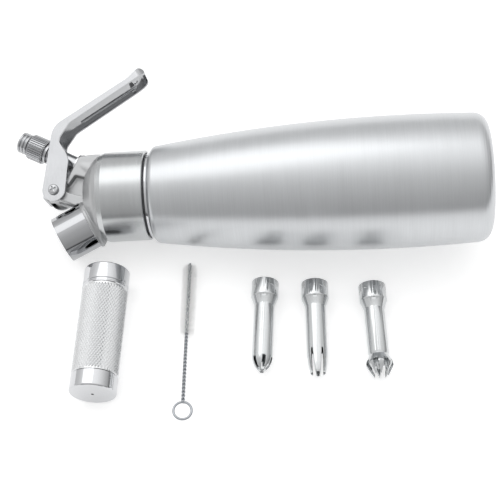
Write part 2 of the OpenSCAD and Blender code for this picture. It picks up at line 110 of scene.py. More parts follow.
def axis_frame(axis: Axis) -> Matrix:
    """Gives the place of an axis.

    Args:
        axis: which of the lines.

    Returns:
        The matrix from that axis's own mm to the row frame's mm.
    """
    laid, fork = TURNED["laid"], TURNED["fork"]
    return {
        Axis.BOTTLE: laid,
        Axis.NOZZLE: laid @ fork @ Matrix.Rotation(NOZZLE_ANGLE, 4, "Y"),
        Axis.INJECTOR: laid @ fork @ Matrix.Rotation(INJECTOR_ANGLE, 4, "Y"),
        Axis.PIVOT: laid @ Matrix.Translation(PIVOT) @ Matrix.Rotation(math.pi / 2, 4, "X"),
        Axis.HOLDER: on_table(-83.4, -21.7, HOLDER_R, -2.6),
        Axis.BRUSH: on_table(-36.4, -10.9, BRUSH_R, -1.15),
        Axis.TIP_ROUND: on_table(7.5, -25.8, INLET_R, -2.5),
        Axis.TIP_TULIP: on_table(35.8, -26.6, INLET_R, 0.5),
        Axis.TIP_STAR: on_table(68.8, -28, INLET_R, 2.1),
    }[axis]


# ---------------------------------------------------------------- finishes


def srgb(text: str) -> tuple[float, float, float, float]:
    """Turns an sRGB hex colour to linear.

    Args:
        text: six hex digits.

    Returns:
        The colour's linear red, green and blue, and an alpha of 1.
    """
    parts = [int(text[i:i + 2], 16) / 255 for i in (0, 2, 4)]
    linear = [p / 12.92 if p <= 0.04045 else ((p + 0.055) / 1.055) ** 2.4 for p in parts]
    return (linear[0], linear[1], linear[2], 1.0)


def add_node(tree: bpy.types.NodeTree, kind: str, settings: dict | None = None,
             inputs: dict | None = None) -> bpy.types.Node:
    """Adds a node with its settings and its inputs.

    Args:
        tree: the tree that it goes in.
        kind: the node's type name.
        settings: properties of the node itself.
        inputs: for each input, by name or place, an output to link or a value.

    Returns:
        The new node.
    """
    node = tree.nodes.new(kind)
    for key, value in (settings or {}).items():
        setattr(node, key, value)
    for key, value in (inputs or {}).items():
        if isinstance(value, bpy.types.NodeSocket):
            tree.links.new(value, node.inputs[key])
        else:
            node.inputs[key].default_value = value
    return node


def ramp(tree: bpy.types.NodeTree, factor: bpy.types.NodeSocket,
         stops: Sequence[tuple[float, str]]) -> bpy.types.NodeSocket:
    """Turns a factor into a colour by stops.

    Args:
        tree: the tree that it goes in.
        factor: the value read.
        stops: places from 0 to 1, each with an sRGB hex colour.

    Returns:
        The colour output.
    """
    node = add_node(tree, "ShaderNodeValToRGB", inputs={"Fac": factor})
    points = node.color_ramp.elements
    while len(points) < len(stops):
        points.new(0.5)
    for point, (place, colour) in zip(points, stops):
        point.position = place
        point.color = srgb(colour)
    return node.outputs["Color"]


@dataclass(frozen=True)
class Finish:
    """What all finishes share: a name, a colour and the shader's own plain values."""

    name: str
    colour: str
    roughness: float = 0.3
    metallic: float = 0.0

    def material(self, axis: Axis) -> bpy.types.Material:
        """Makes this finish for a piece on an axis.

        Args:
            axis: the line that the surface's pattern follows.

        Returns:
            The material, made once for each axis.
        """
        name = f"{self.name}_{axis.value}"
        if name in bpy.data.materials:
            return bpy.data.materials[name]
        made = bpy.data.materials.new(name)
        made.use_nodes = True
        tree = made.node_tree
        tree.nodes.clear()
        shader = add_node(tree, "ShaderNodeBsdfPrincipled", inputs={
            "Base Color": srgb(self.colour), "Roughness": self.roughness, "Metallic": self.metallic})
        add_node(tree, "ShaderNodeOutputMaterial", inputs={"Surface": shader.outputs["BSDF"]})
        whole = add_node(tree, "ShaderNodeTexCoord").outputs["Object"]
        place = axis_frame(axis)
        local = add_node(tree, "ShaderNodeMapping", {"vector_type": "TEXTURE"}, {
            "Vector": whole, "Location": place.to_translation() * MM, "Rotation": place.to_euler(),
            "Scale": (MM, MM, MM)}).outputs["Vector"]
        self.surface(tree, shader, local)
        return made

    def two_tone(self, tree: bpy.types.NodeTree, factor: bpy.types.NodeSocket, low: float,
                 high: float) -> bpy.types.NodeSocket:
        """Blends a darker and a lighter shade of the finish's colour.

        Args:
            tree: the material's nodes.
            factor: 0 for the darker shade, 1 for the lighter.
            low: the darker shade's share of the colour's brightness.
            high: the lighter shade's share.

        Returns:
            The blended colour.
        """
        dark, light = (add_node(tree, "ShaderNodeHueSaturation", inputs={
            "Color": srgb(self.colour), "Value": value}).outputs["Color"] for value in (low, high))
        return add_node(tree, "ShaderNodeMix", {"data_type": "RGBA"}, {
            "Factor": factor, "A": dark, "B": light}).outputs["Result"]

    def surface(self, tree: bpy.types.NodeTree, shader: bpy.types.Node, local: bpy.types.NodeSocket) -> None:
        """Adds the finish's own pattern.

        Args:
            tree: the material's nodes.
            shader: the surface shader.
            local: the point in mm, Z along the axis.
        """
        raise NotImplementedError


@dataclass(frozen=True)
class BrushedSteel(Finish):
    """Stainless steel brushed while it turned in a lathe.

    Fine hairlines run round the piece, so light is drawn out along it, and slow bands of a
    slightly different grey lie side by side along its length.
    """

    line_mm: float = 0.45
    depth: float = 0.010
    spread: float = 0.10

    def surface(self, tree: bpy.types.NodeTree, shader: bpy.types.Node, local: bpy.types.NodeSocket) -> None:
        """Draws hairlines round the axis in colour, roughness and bump."""
        stretched = add_node(tree, "ShaderNodeMapping", inputs={
            "Vector": local, "Scale": (0.03, 0.03, 1 / self.line_mm)}).outputs["Vector"]
        lines = add_node(tree, "ShaderNodeTexNoise", inputs={
            "Vector": stretched, "Scale": 1.0, "Detail": 5.0, "Roughness": 0.65}).outputs["Fac"]
        wide = add_node(tree, "ShaderNodeMapping", inputs={
            "Vector": local, "Scale": (0.02, 0.02, 0.16)}).outputs["Vector"]
        bands = add_node(tree, "ShaderNodeTexNoise", inputs={
            "Vector": wide, "Scale": 1.0, "Detail": 3.0, "Roughness": 0.5}).outputs["Fac"]
        both = add_node(tree, "ShaderNodeMix", {"data_type": "FLOAT"}, {
            "Factor": 0.35, "A": lines, "B": bands}).outputs["Result"]
        colour = self.two_tone(tree, both, 0.80, 1.10)
        rough = add_node(tree, "ShaderNodeMapRange", inputs={
            "Value": both, "From Min": 0.25, "From Max": 0.75,
            "To Min": self.roughness - self.spread / 2, "To Max": self.roughness + self.spread / 2})
        bump = add_node(tree, "ShaderNodeBump", inputs={
            "Strength": 0.35, "Distance": self.depth * MM, "Height": lines}).outputs["Normal"]
        tree.links.new(colour, shader.inputs["Base Color"])
        tree.links.new(rough.outputs["Result"], shader.inputs["Roughness"])
        tree.links.new(bump, shader.inputs["Normal"])


@dataclass(frozen=True)
class PolishedSteel(Finish):
    """Steel buffed to a mirror.

    Soft wheel marks and a few hairline scratches keep the mirror from looking like glass.
    """

    haze_mm: float = 9.0

    def surface(self, tree: bpy.types.NodeTree, shader: bpy.types.Node, local: bpy.types.NodeSocket) -> None:
        """Varies the gloss slowly and adds sparse fine scratches."""
        haze = add_node(tree, "ShaderNodeTexNoise", inputs={
            "Vector": local, "Scale": 1 / self.haze_mm, "Detail": 3.0}).outputs["Fac"]
        drawn = add_node(tree, "ShaderNodeMapping", inputs={
            "Vector": local, "Rotation": (0.4, 0.2, 0.7), "Scale": (0.12, 3.5, 0.9)}).outputs["Vector"]
        scratches = add_node(tree, "ShaderNodeTexNoise", inputs={
            "Vector": drawn, "Scale": 1.0, "Detail": 4.0, "Roughness": 0.7}).outputs["Fac"]
        both = add_node(tree, "ShaderNodeMix", {"data_type": "FLOAT"}, {
            "Factor": 0.5, "A": haze, "B": scratches}).outputs["Result"]
        rough = add_node(tree, "ShaderNodeMapRange", inputs={
            "Value": both, "From Min": 0.35, "From Max": 0.7,
            "To Min": self.roughness * 0.6, "To Max": self.roughness * 1.6})
        bump = add_node(tree, "ShaderNodeBump", inputs={
            "Strength": 0.12, "Distance": 0.02 * MM, "Height": haze}).outputs["Normal"]
        tree.links.new(rough.outputs["Result"], shader.inputs["Roughness"])
        tree.links.new(bump, shader.inputs["Normal"])


@dataclass(frozen=True)
class BlastedCasting(Finish):
    """Die-cast alloy blasted with fine glass beads and left bare.

    The beads leave a close, even grain that takes the gloss off without hiding the casting's
    soft corners; the grain of about 0.2 mm is drawn at 0.45 mm so that it shows.
    """

    grain_mm: float = 0.45

    def surface(self, tree: bpy.types.NodeTree, shader: bpy.types.Node, local: bpy.types.NodeSocket) -> None:
        """Draws the beads' dimples and the casting's slow unevenness."""
        grain = add_node(tree, "ShaderNodeTexNoise", inputs={
            "Vector": local, "Scale": 1 / self.grain_mm, "Detail": 3.0, "Roughness": 0.6}).outputs["Fac"]
        slow = add_node(tree, "ShaderNodeTexNoise", inputs={
            "Vector": local, "Scale": 0.11, "Detail": 2.0}).outputs["Fac"]
        both = add_node(tree, "ShaderNodeMix", {"data_type": "FLOAT"}, {
            "Factor": 0.4, "A": grain, "B": slow}).outputs["Result"]
        colour = self.two_tone(tree, both, 0.90, 1.06)
        rough = add_node(tree, "ShaderNodeMapRange", inputs={
            "Value": both, "From Min": 0.3, "From Max": 0.7,
            "To Min": self.roughness - 0.05, "To Max": self.roughness + 0.06})
        bump = add_node(tree, "ShaderNodeBump", inputs={
            "Strength": 0.5, "Distance": 0.03 * MM, "Height": grain}).outputs["Normal"]
        tree.links.new(colour, shader.inputs["Base Color"])
        tree.links.new(rough.outputs["Result"], shader.inputs["Roughness"])
        tree.links.new(bump, shader.inputs["Normal"])


@dataclass(frozen=True)
class SoftGoods(Finish):
    """Rubber, silicone, acetal or nylon: an even moulded skin, a little mottled."""

    mottle_mm: float = 1.2
    contrast: float = 0.08
    through: float = 0.0

    def surface(self, tree: bpy.types.NodeTree, shader: bpy.types.Node, local: bpy.types.NodeSocket) -> None:
        """Adds the moulded skin's faint mottle to colour, gloss and bump, and light through thin pieces."""
        if self.through:
            shader.inputs["Subsurface Weight"].default_value = self.through
            shader.inputs["Subsurface Radius"].default_value = (1.0, 1.0, 1.0)
            shader.inputs["Subsurface Scale"].default_value = 1.5 * MM
        mottle = add_node(tree, "ShaderNodeTexNoise", inputs={
            "Vector": local, "Scale": 1 / self.mottle_mm, "Detail": 3.0}).outputs["Fac"]
        colour = self.two_tone(tree, mottle, 1 - self.contrast, 1 + self.contrast / 2)
        rough = add_node(tree, "ShaderNodeMapRange", inputs={
            "Value": mottle, "To Min": self.roughness - 0.08, "To Max": self.roughness + 0.08})
        bump = add_node(tree, "ShaderNodeBump", inputs={
            "Strength": 0.2, "Distance": 0.02 * MM, "Height": mottle}).outputs["Normal"]
        tree.links.new(colour, shader.inputs["Base Color"])
        tree.links.new(rough.outputs["Result"], shader.inputs["Roughness"])
        tree.links.new(bump, shader.inputs["Normal"])


# Brushed stainless: the bottle's wide soft hairlines.
BOTTLE_STEEL = BrushedSteel("brushed_stainless_steel", "cbcdcf", 0.34, 1.0)
# The collar is brushed finer and a little darker, so it parts from the bottle.
COLLAR_STEEL = BrushedSteel("satin_stainless_steel", "c3c5c6", 0.25, 1.0, line_mm=0.3, depth=0.004,
                            spread=0.07)
# Turned and left with its tool marks, under the knurls and on the threads.
TURNED_STEEL = BrushedSteel("turned_stainless_steel", "d3d4d5", 0.26, 1.0, line_mm=0.25, depth=0.006)
# Rolled between knurling wheels, so each diamond is a small bright facet beside a dull one.
KNURLED_STEEL = PolishedSteel("knurled_stainless_steel", "e2e3e4", 0.26, 1.0, haze_mm=3.0)
# Bright mirror steel: the neck ring, the holder's smooth bands and the small inner pieces.
MIRROR_STEEL = PolishedSteel("polished_stainless_steel", "c9cacc", 0.08, 1.0)
# The sleeve's steel is a darker grade with the same mirror, so it stands out from the lever.
SLEEVE_STEEL = PolishedSteel("bright_turned_sleeve_steel", "aeafb1", 0.07, 1.0, haze_mm=6.0)
# The screw and the injector are turned from bar: grey, with a fine ring on every step.
BAR_STEEL = BrushedSteel("turned_bar_steel", "b6b7b9", 0.22, 1.0, line_mm=0.25, depth=0.006)
# The lever is pressed and barrel-finished: satin on its flats, with a long soft gloss.
SATIN_PRESSED = PolishedSteel("barrel_finished_steel", "a9aaac", 0.17, 1.0, haze_mm=14.0)
# The tips are drawn tube, tumbled smooth, so their mirror is softer.
TIP_STEEL = PolishedSteel("tumbled_stainless_steel", "cbcdce", 0.16, 1.0, haze_mm=5.0)
# Wire straight from the die.
WIRE_STEEL = PolishedSteel("drawn_steel_wire", "a6a9ad", 0.15, 1.0, haze_mm=2.0)
# The head: satin light grey.
CAST_ALLOY = BlastedCasting("bead_blasted_cast_alloy", "b7b8b9", 0.46, 1.0)
# Moulded rubber of the seals: nearly black, with a dull skin.
BLACK_RUBBER = SoftGoods("nitrile_rubber", "232325", 0.6)
# Moulded silicone of the head's gasket: off-white and a little waxy.
WHITE_SILICONE = SoftGoods("food_grade_silicone", "dcdcd9", 0.45)
# Turned acetal of guide, poppet and washers: cream, with a soft gloss.
CREAM_ACETAL = SoftGoods("machined_acetal", "ded9c8", 0.35)
# Drawn nylon of the bristles: white, and light comes through the thin filaments.
WHITE_NYLON = SoftGoods("nylon_filament", "fafaf8", 0.45, mottle_mm=0.6, contrast=0.03, through=0.7)


def dress(piece: bpy.types.Object, finish: Finish, axis: Axis) -> None:
    """Puts a finish on a piece.

    Args:
        piece: the mesh object.
        finish: what it is made of.
        axis: the line that its pattern follows.
    """
    piece.data.materials.clear()
    piece.data.materials.append(finish.material(axis))


# ---------------------------------------------------------------- modelling tools


def only(piece: bpy.types.Object) -> None:
    """Deselects everything and makes one piece the selected and active one."""
    bpy.ops.object.select_all(action="DESELECT")
    piece.select_set(True)
    bpy.context.view_layer.objects.active = piece


def apply_modifier(piece: bpy.types.Object, kind: str, **settings: object) -> None:
    """Adds a modifier to a piece and applies it.

    Args:
        piece: the mesh object.
        kind: the modifier's type name.
        settings: the modifier's properties.
    """
    only(piece)
    modifier = piece.modifiers.new(kind.lower(), kind)
    for key, value in settings.items():
        setattr(modifier, key, value)
    bpy.ops.object.modifier_apply(modifier=modifier.name)


def pick_points(piece: bpy.types.Object, pick: Pick) -> None:
    """Selects the points of a piece in edit mode by their place.

    Args:
        piece: the mesh object, which is left in edit mode with the points selected.
        pick: says of a point, in the mesh's own units, whether it is taken.
    """
    if bpy.context.mode != "OBJECT":
        bpy.ops.object.mode_set(mode="OBJECT")
    only(piece)
    mesh = piece.data
    for poly in mesh.polygons:
        poly.select = False
    for edge in mesh.edges:
        edge.select = False
    for point in mesh.vertices:
        point.select = bool(pick(point.co))
    bpy.ops.object.mode_set(mode="EDIT")
    bpy.ops.mesh.select_mode(type="VERT")


def settle(piece: bpy.types.Object, place: Matrix, angle: float = 35.0) -> bpy.types.Object:
    """Finishes a piece: merged, faces outward, placed in its mesh, object at the origin.

    Args:
        piece: a mesh drawn in mm on its own axis.
        place: the matrix from its mm to the row frame's mm.
        angle: edges sharper than this stay sharp, in degrees.

    Returns:
        The same piece.
    """
    only(piece)
    bpy.ops.object.mode_set(mode="EDIT")
    bpy.ops.mesh.select_all(action="SELECT")
    bpy.ops.mesh.remove_doubles(threshold=0.0005)
    bpy.ops.mesh.normals_make_consistent(inside=False)
    bpy.ops.object.mode_set(mode="OBJECT")
    piece.matrix_world = Matrix.Scale(MM, 4) @ place
    bpy.ops.object.transform_apply(location=True, rotation=True, scale=True)
    bpy.ops.object.shade_smooth_by_angle(angle=math.radians(angle))
    return piece


def turned(name: str, profile: Sequence[Point], steps: int) -> bpy.types.Object:
    """Turns a profile round +Z, one ring extruded from the one before and the last bridged to the first.

    Args:
        name: the piece's name.
        profile: (radius, height) of each ring in mm, once round the wall.
        steps: points in a ring.

    Returns:
        The piece, in object mode, in mm on its own axis.
    """
    bpy.ops.object.select_all(action="DESELECT")
    first_r, first_z = profile[0]
    bpy.ops.mesh.primitive_circle_add(
        vertices=steps, radius=first_r, fill_type="NOTHING", location=(0.0, 0.0, 0.0))
    piece = bpy.context.object
    piece.name = piece.data.name = name
    bpy.ops.object.mode_set(mode="EDIT")
    bpy.ops.mesh.select_all(action="SELECT")
    bpy.ops.transform.translate(value=(0.0, 0.0, first_z))
    for (r0, z0), (r1, z1) in zip(profile, profile[1:]):
        bpy.ops.mesh.extrude_region_move(TRANSFORM_OT_translate={"value": (0.0, 0.0, z1 - z0)})
        ratio = r1 / r0
        bpy.ops.transform.resize(value=(ratio, ratio, 1.0), center_override=(0.0, 0.0, z1))
    bpy.ops.mesh.select_all(action="SELECT")
    bpy.ops.mesh.select_non_manifold(extend=False)
    bpy.ops.mesh.bridge_edge_loops()
    bpy.ops.object.mode_set(mode="OBJECT")
    return piece


def arc(cx: float, cy: float, r: float, start: float, end: float, steps: int = 6) -> list[Point]:
    """Gives the points of an arc, from one angle to another in degrees."""
    angles = [math.radians(start + (end - start) * i / steps) for i in range(steps + 1)]
    return [(cx + r * math.cos(a), cy + r * math.sin(a)) for a in angles]


def join(name: str, parts: Iterable[bpy.types.Object]) -> bpy.types.Object:
    """Joins several meshes into one piece.

    Args:
        name: the piece's name.
        parts: the meshes, the first of which stays.

    Returns:
        The joined piece.
    """
    parts = list(parts)
    only(parts[0])
    for part in parts:
        part.select_set(True)
    bpy.ops.object.join()
    parts[0].name = parts[0].data.name = name
    return parts[0]


def copy_node(name: str, node: str) -> bpy.types.Object:
    """Copies a CAD node's mesh and merges its loose triangles.

    Args:
        name: the copy's name.
        node: the CAD node.

    Returns:
        The copy, in metres at its place.
    """
    piece = bpy.data.objects.new(name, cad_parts[node].data.copy())
    piece.data.name = name
    bpy.context.scene.collection.objects.link(piece)
    only(piece)
    bpy.ops.object.mode_set(mode="EDIT")
    bpy.ops.mesh.select_all(action="SELECT")
    bpy.ops.mesh.remove_doubles(threshold=0.000005)
    bpy.ops.mesh.dissolve_limited(angle_limit=math.radians(0.6))
    bpy.ops.object.mode_set(mode="OBJECT")
    return piece


def block(size: tuple[float, float, float], place: Matrix, edge: float) -> bpy.types.Object:
    """Models a block with rounded edges, to carve a recess with.

    Args:
        size: its three sides in mm.
        place: the matrix from its own mm, with its middle at 0, to the row frame's mm.
        edge: how far its edges are rounded, in mm.

    Returns:
        The block, in metres at its place.
    """
    bpy.ops.object.select_all(action="DESELECT")
    bpy.ops.mesh.primitive_cube_add(size=1.0, location=(0.0, 0.0, 0.0))
    piece = bpy.context.object
    bpy.ops.object.mode_set(mode="EDIT")
    bpy.ops.mesh.select_all(action="SELECT")
    bpy.ops.transform.resize(value=size)
    bpy.ops.mesh.bevel(offset=edge, segments=2, affect="EDGES")
    bpy.ops.object.mode_set(mode="OBJECT")
    return settle(piece, place)


def carve(piece: bpy.types.Object, cutters: Iterable[bpy.types.Object]) -> None:
    """Cuts recesses into a piece and removes what cut them.

    Args:
        piece: the mesh, in metres at its place.
        cutters: closed meshes in the same frame.
    """
    for cutter in cutters:
        apply_modifier(piece, "BOOLEAN", operation="DIFFERENCE", solver="EXACT", object=cutter)
        bpy.data.objects.remove(cutter)


def stand_for(piece: bpy.types.Object, body: str, slot: str, *nodes: str) -> None:
    """Puts a finished piece on its body in place of its CAD nodes.

    Args:
        piece: the finished piece.
        body: the body that carries it.
        slot: the record's material slot; it is not used.
        nodes: the CAD nodes that it stands for.
    """
    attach(piece, body)
    if nodes:
        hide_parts(*nodes)
    log.info("%s: %d faces on %s", piece.name, len(piece.data.polygons), body)


# ---------------------------------------------------------------- sub-assemblies


@dataclass
class KeptNodes:
    """CAD nodes whose shape is right, each with its finish and the axis that its pattern follows."""

    finishes: dict[str, tuple[Finish, Axis]] = field(default_factory=lambda: {
        "bottle": (BOTTLE_STEEL, Axis.BOTTLE),
        "neck_ring": (MIRROR_STEEL, Axis.BOTTLE),
        "head_gasket": (WHITE_SILICONE, Axis.BOTTLE),
        "head_casting": (CAST_ALLOY, Axis.BOTTLE),
        "head_collar": (COLLAR_STEEL, Axis.BOTTLE),
        "nozzle_sleeve": (SLEEVE_STEEL, Axis.NOZZLE),
        "nozzle_spigot": (MIRROR_STEEL, Axis.NOZZLE),
        "valve_guide": (CREAM_ACETAL, Axis.NOZZLE),
        "valve_piston": (MIRROR_STEEL, Axis.NOZZLE),
        "piston_collar": (MIRROR_STEEL, Axis.NOZZLE),
        "piston_rings": (BLACK_RUBBER, Axis.NOZZLE),
        "valve_spring": (WIRE_STEEL, Axis.NOZZLE),
        "injector_body": (TURNED_STEEL, Axis.INJECTOR),
        "injector_washer": (MIRROR_STEEL, Axis.INJECTOR),
        "charger_seal": (BLACK_RUBBER, Axis.INJECTOR),
        "piercing_pin": (TURNED_STEEL, Axis.INJECTOR),
        "check_poppet": (CREAM_ACETAL, Axis.INJECTOR),
        "check_spring": (WIRE_STEEL, Axis.INJECTOR),
        "lever": (MIRROR_STEEL, Axis.PIVOT),
        "pivot_screw": (MIRROR_STEEL, Axis.PIVOT),
        "pivot_nut": (MIRROR_STEEL, Axis.PIVOT),
        "pivot_washers": (CREAM_ACETAL, Axis.PIVOT),
        "holder_body": (TURNED_STEEL, Axis.HOLDER),
        "holder_cap": (MIRROR_STEEL, Axis.HOLDER),
        "brush_wire": (WIRE_STEEL, Axis.BRUSH),
        "brush_bristles": (WHITE_NYLON, Axis.BRUSH),
        "tip_round": (TIP_STEEL, Axis.TIP_ROUND),
        "tip_tulip": (TIP_STEEL, Axis.TIP_TULIP),
        "tip_star": (TIP_STEEL, Axis.TIP_STAR),
    })

    def build(self) -> None:
        """Dresses each kept node."""
        for name, (finish, axis) in self.finishes.items():
            dress(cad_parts[name], finish, axis)
            log.info("%s keeps its CAD shape in %s", name, finish.name)


@dataclass
class ChargerHolder:
    """The holder's knurled body between two smooth bands, and its cap."""

    radius: float = HOLDER_R
    length: float = 75.5
    band: float = 12.0
    cap: float = 9.5
    mouth: float = 6.75
    bore: float = 9.4
    wide: float = 1.65
    tall: float = 2.6
    relief: float = 0.46

    def knurled_body(self) -> None:
        """Models the body, its diamond knurl raised point by point.

        The real diamonds are a little finer; these are as coarse as they need to be to show.
        """
        around = 2 * round(2 * math.pi * self.radius / self.wide)
        start, end = self.band + 0.7, self.length - self.cap - 0.7
        rows = round((end - start) / self.tall * 2)
        low, high = self.radius - self.relief, self.radius
        smooth = [(self.mouth, 0.0), (self.radius - 0.8, 0.0)]
        smooth += arc(self.radius - 0.8, 0.8, 0.8, -90, 0, 5)[1:]
        smooth += [(self.radius, self.band - 2.4), (self.radius - 0.15, self.band - 2.1),
                   (self.radius - 0.5, self.band - 1.9), (self.radius - 0.5, self.band - 1.0),
                   (self.radius - 0.1, self.band - 0.8), (self.radius, self.band - 0.6),
                   (self.radius, self.band), (low, self.band + 0.35)]
        knurl = [(low, start + (end - start) * i / rows) for i in range(rows + 1)]
        inner = [(self.radius - 2.0, self.length - self.cap - 0.2), (self.radius - 2.0, self.length - 4.0),
                 (self.bore, self.length - 4.0), (self.bore, 12.0), (self.mouth, 8.0)]
        body = turned("holder_knurled_body", smooth + knurl + [(low, end + 0.1)] + inner, around)
        step = (end - start) / rows

        def crest(point: Vector) -> bool:
            """Says whether a point is the top of a diamond."""
            if not start + step / 2 < point.z < end - step / 2 or abs(point.xy.length - low) > 0.02:
                return False
            row = round((point.z - start) / step)
            column = round(math.degrees(math.atan2(point.y, point.x)) / 360 * around)
            return (row + column) % 2 == 0

        pick_points(body, crest)
        ratio = high / low
        bpy.ops.transform.resize(value=(ratio, ratio, 1.0), center_override=(0.0, 0.0, 0.0))
        pick_points(body, lambda point: start - 0.01 < point.z < end + 0.01 and point.xy.length > low - 0.02)
        bpy.ops.mesh.quads_convert_to_tris(quad_method="SHORTEST_DIAGONAL")
        bpy.ops.object.mode_set(mode="OBJECT")
        settle(body, axis_frame(Axis.HOLDER), 18.0)
        dress(body, KNURLED_STEEL, Axis.HOLDER)
        body.data.materials.append(MIRROR_STEEL.material(Axis.HOLDER))
        place = (Matrix.Scale(MM, 4) @ axis_frame(Axis.HOLDER)).inverted()
        for face in body.data.polygons:
            if (place @ face.center).z < self.band + 0.2:
                face.material_index = 1
        stand_for(body, "charger_holder", "knurled", "holder_body")

    def build(self) -> None:
        """Builds the holder."""
        self.knurled_body()


@dataclass
class Injector:
    """The gas inlet: shank, straight-knurled grip and the thread for the charger holder."""

    shank: float = 5.0
    grip: float = 7.6
    thread: float = 6.4
    bore: float = 1.2
    neck: float = 4.4
    socket: float = 5.4
    socket_s: float = 32.0
    boss_s: float = 44.8
    grip_s: float = 66.7
    grip_h: float = 10.4
    end_s: float = 84.0
    ribs: int = 34
    rib_depth: float = 0.8
    pitch: float = 2.1

    def build(self) -> None:
        """Models the injector's outside and bores as one turned piece, then cuts its ribs."""
        top = self.grip_s + self.grip_h
        profile: list[Point] = [
            (self.bore, self.socket_s), (self.socket, self.socket_s), (self.socket, self.boss_s),
            (self.shank, self.boss_s), (self.shank, self.grip_s - 6.0)]
        for place in (5.6, 4.6, 3.6):
            start = self.grip_s - place
            profile += [(self.shank, start), (self.shank - 0.5, start + 0.25),
                        (self.shank - 0.5, start + 0.55), (self.shank, start + 0.8)]
        profile += [(self.shank, self.grip_s - 2.2), (self.shank + 1.2, self.grip_s - 2.0),
                    (self.shank + 1.2, self.grip_s - 0.8), (self.shank, self.grip_s - 0.6),
                    (self.shank, self.grip_s)]
        profile += [(self.grip - 0.9, self.grip_s)]
        rib_rings = [self.grip_s + 0.6, self.grip_s + self.grip_h / 2, top - 0.6]
        profile += [(self.grip - self.rib_depth, z) for z in rib_rings]
        profile += [(self.grip - 0.9, top), (self.thread - 0.8, top)]
        ridge = top + 0.5
        while ridge + self.pitch < self.end_s + 0.1:
            profile += [(self.thread - 0.8, ridge), (self.thread - 0.1, ridge + 0.45),
                        (self.thread, ridge + 0.8), (self.thread, ridge + 1.1),
                        (self.thread - 0.1, ridge + 1.45), (self.thread - 0.8, ridge + 1.9)]
            ridge += self.pitch
        profile += [(self.thread - 1.2, self.end_s), (self.neck, self.end_s), (self.neck, self.grip_s + 2.0),
                    (self.bore, self.grip_s + 2.0)]
        body = turned("injector_knurled_body", profile, 4 * self.ribs)

        def crest(point: Vector) -> bool:
            """Says whether a point lies on top of a rib."""
            if not any(abs(point.z - z) < 0.05 for z in rib_rings) or point.xy.length < self.grip - 0.85:
                return False
            column = round(math.degrees(math.atan2(point.y, point.x)) / 360 * 4 * self.ribs)
            return column % 4 in (0, 1)

        pick_points(body, crest)
        ratio = self.grip / (self.grip - self.rib_depth)
        bpy.ops.transform.resize(value=(ratio, ratio, 1.0), center_override=(0.0, 0.0, 0.0))
        bpy.ops.object.mode_set(mode="OBJECT")
        settle(body, axis_frame(Axis.INJECTOR), 20.0)
        dress(body, BAR_STEEL, Axis.INJECTOR)
        stand_for(body, "head", "knurled", "injector_body")


@dataclass
class CleaningBrush:
    """The brush: two wires twisted together, a ring at the end and nylon bristles in the twist."""

    length: float = 87.7
    wire: float = 0.6
    twist: float = 4.4
    ring: float = 5.0
    radius: float = BRUSH_R
    first: float = 1.6
    last: float = 46.0
    filaments: int = 900
    thick: tuple[float, float] = (0.09, 0.06)
    golden: float = 2.39996

    def strand(self, side: int) -> bpy.types.Object:
        """Models one of the two strands of the twisted stem.

        Args:
            side: 0 or 1, for the strand's side of the twist.

        Returns:
            The strand in mm.
        """
        count = int(self.length / self.twist * 16)
        points = []
        for i in range(count + 1):
            z = 0.8 + (self.length - 0.8) * i / count
            a = 2 * math.pi * (z / self.twist) + math.pi * side
            points.append((self.wire * math.cos(a), self.wire * math.sin(a), z))
        return wire_along(f"strand_{side}", points, self.wire * 0.96, 6)

    def loop(self) -> bpy.types.Object:
        """Models the ring that the wire's end is bent to."""
        bpy.ops.object.select_all(action="DESELECT")
        bpy.ops.mesh.primitive_torus_add(
            major_radius=self.ring, minor_radius=0.7, major_segments=72, minor_segments=14,
            location=(0.0, 0.0, self.length + self.ring - 0.3), rotation=(math.pi / 2, 0.0, 0.0))
        ring = bpy.context.object
        bpy.ops.object.transform_apply(location=True, rotation=True, scale=True)
        return ring

    def build(self) -> None:
        """Builds stem and bristles."""
        stem = join("brush_twisted_stem", [self.strand(0), self.strand(1), self.loop()])
        settle(stem, axis_frame(Axis.BRUSH), 60.0)
        dress(stem, WIRE_STEEL, Axis.BRUSH)
        stand_for(stem, "brush", "polished", "brush_wire")
        bristles = self.bristles()
        settle(bristles, axis_frame(Axis.BRUSH), 60.0)
        dress(bristles, WHITE_NYLON, Axis.BRUSH)
        stand_for(bristles, "brush", "bristle", "brush_bristles")

    def bristles(self) -> bpy.types.Object:
        """Models one filament and copies it round the stem in a spiral, each a little different.

        Returns:
            All the filaments as one piece, in mm.
        """
        bpy.ops.object.select_all(action="DESELECT")
        bpy.ops.mesh.primitive_cone_add(
            vertices=4, radius1=self.thick[0], radius2=self.thick[1], depth=1.0, end_fill_type="TRIFAN",
            location=(0.0, 0.0, 0.0))
        one = bpy.context.object
        bpy.ops.object.mode_set(mode="EDIT")
        bpy.ops.mesh.select_all(action="SELECT")
        bpy.ops.transform.translate(value=(0.0, 0.0, 0.5))
        bpy.ops.object.mode_set(mode="OBJECT")
        copies = []
        for i in range(self.filaments):
            share = i / self.filaments
            z = self.first + (self.last - self.first) * share
            noise = scatter(i)
            a = i * self.golden + 0.5 * noise
            reach = self.radius - 0.1 - 0.4 * noise
            if share < 0.06:
                reach *= 0.72 + 4.6 * share
            lean = 0.14 * (noise - 0.5)
            copy = one.copy()
            copy.data = one.data.copy()
            bpy.context.scene.collection.objects.link(copy)
            copy.matrix_world = (Matrix.Translation((0.0, 0.0, z)) @ Matrix.Rotation(a, 4, "Z")
                                 @ Matrix.Rotation(math.pi / 2 + lean, 4, "Y")
                                 @ Matrix.Diagonal((1.0, 1.0, reach, 1.0)))
            copies.append(copy)
        bpy.data.objects.remove(one)
        piece = join("brush_nylon_bristles", copies)
        only(piece)
        bpy.ops.object.transform_apply(location=True, rotation=True, scale=True)
        return piece


